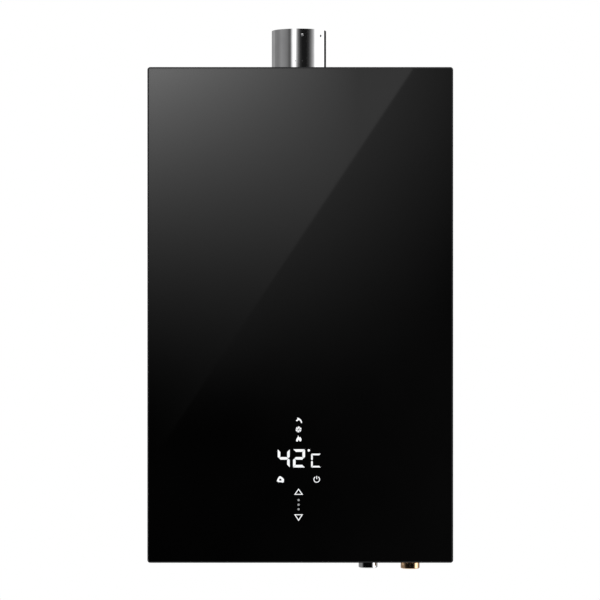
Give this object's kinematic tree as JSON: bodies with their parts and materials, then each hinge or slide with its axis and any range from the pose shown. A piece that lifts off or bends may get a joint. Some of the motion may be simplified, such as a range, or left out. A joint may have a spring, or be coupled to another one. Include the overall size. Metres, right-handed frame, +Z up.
{
  "type": "gas_water_heater",
  "caption": "Wall-hung tankless gas water heater with a black glass front, a lit touch display, a fan flue collar and threaded gas and water connections",
  "frame": {"origin": "centre of the four wall screws, on the wall", "axes": "+Z up, +Y into the wall, +X to the right seen from the front"},
  "size_m": [0.33, 0.138, 0.5936],
  "materials": {
    "enamelled_glass": "gloss",
    "powder_coat": "satin",
    "galvanised_steel": "satin",
    "stainless": "polished",
    "screw_steel": "satin",
    "motor_steel": "satin",
    "iron": "matte",
    "die_cast": "satin",
    "copper": "satin",
    "brass": "satin",
    "fibre_gasket": "matte",
    "foam_tape": "matte",
    "black_rubber": "matte",
    "silicone": "satin",
    "black_plastic": "satin",
    "white_plastic": "satin",
    "blue_plastic": "satin",
    "grey_plastic": "satin",
    "circuit_board": "gloss",
    "ceramic_white": "gloss"
  },
  "bodies": {
    "heater": {"back_plate": "galvanised_steel", "front_cover": "powder_coat", "glass_panel": "enamelled_glass", "panel_tape": "foam_tape", "cover_screws": "screw_steel", "cable_gland": "black_rubber", "display_holder": "black_plastic", "touch_board": "circuit_board", "flue_collar": "stainless", "flue_gasket": "fibre_gasket", "flue_screws": "screw_steel", "damper_pin": "stainless", "fan_housing": "galvanised_steel", "fan_front_plate": "galvanised_steel", "fan_screws": "screw_steel", "motor_body": "motor_steel", "motor_bearings": "stainless", "smoke_hood": "galvanised_steel", "hood_gasket": "fibre_gasket", "combustion_chamber": "copper", "exchanger_fins": "copper", "exchanger_tubes": "copper", "chamber_coil": "copper", "overheat_switch": "black_plastic", "burner_frame": "galvanised_steel", "burner_bars": "galvanised_steel", "gas_manifold": "die_cast", "gas_nozzles": "brass", "electrode_insulators": "ceramic_white", "electrode_rods": "stainless", "electrode_plate": "galvanised_steel", "chamber_brackets": "galvanised_steel", "gas_valve_body": "die_cast", "gas_nipple": "stainless", "solenoid_coils": "black_plastic", "modulator_coil": "black_plastic", "gas_pipe": "screw_steel", "water_valve_body": "brass", "inlet_filter": "white_plastic", "turbine_axle": "white_plastic", "flow_sensor": "black_plastic", "cold_pipe": "copper", "hot_pipe": "copper", "hot_fitting": "brass", "pipe_nuts": "brass", "controller_box": "white_plastic", "controller_lid": "white_plastic", "controller_board": "circuit_board", "igniter_unit": "grey_plastic", "pressure_switch": "white_plastic", "pressure_hose": "silicone"},
    "fan_rotor": {"impeller": "galvanised_steel", "motor_shaft": "stainless"},
    "damper": {"damper_flap": "stainless"},
    "flow_rotor": {"flow_turbine": "blue_plastic"},
    "shutoff_valve": {"shutoff_plunger": "iron"},
    "main_valve": {"main_plunger": "iron"},
    "modulator_valve": {"modulator_plunger": "iron"},
    "drain_seal_body": {"drain_seal": "black_rubber"},
    "drain_plug_body": {"drain_plug": "black_plastic"}
  },
  "joints": [
    {"name": "fan_spin", "type": "hinge", "parent": "heater", "child": "fan_rotor", "pos_m": [0.0435, -0.068, 0.2052], "axis": [0, 1, 0], "continuous": true},
    {"name": "damper_swing", "type": "hinge", "parent": "heater", "child": "damper", "pos_m": [-0.0015, -0.062, 0.2792], "axis": [-1, 0, 0], "range_deg": [0, 80]},
    {"name": "flow_spin", "type": "hinge", "parent": "heater", "child": "flow_rotor", "pos_m": [0.1215, -0.068, -0.2347], "axis": [0, 0, 1], "continuous": true},
    {"name": "shutoff_slide", "type": "slide", "parent": "heater", "child": "shutoff_valve", "axis": [0, -1, 0], "range_m": [0, 0.003], "stiffness_N_per_m": 150},
    {"name": "main_slide", "type": "slide", "parent": "heater", "child": "main_valve", "axis": [0, -1, 0], "range_m": [0, 0.003], "stiffness_N_per_m": 150},
    {"name": "modulator_slide", "type": "slide", "parent": "heater", "child": "modulator_valve", "axis": [-1, 0, 0], "range_m": [0, 0.002], "stiffness_N_per_m": 100},
    {"name": "drain_slide", "type": "slide", "parent": "heater", "child": "drain_seal_body", "axis": [0, 0, -1], "range_m": [0, 0.0046]},
    {"name": "drain_turn", "type": "hinge", "parent": "drain_seal_body", "child": "drain_plug_body", "pos_m": [0.1215, -0.094, -0.2645], "axis": [0, 0, -1], "range_deg": [0, 1080]}
  ],
  "couplings": [
    {"joint": "drain_slide", "follows": "drain_turn", "m_per_rad": 0.00023873}
  ]
}
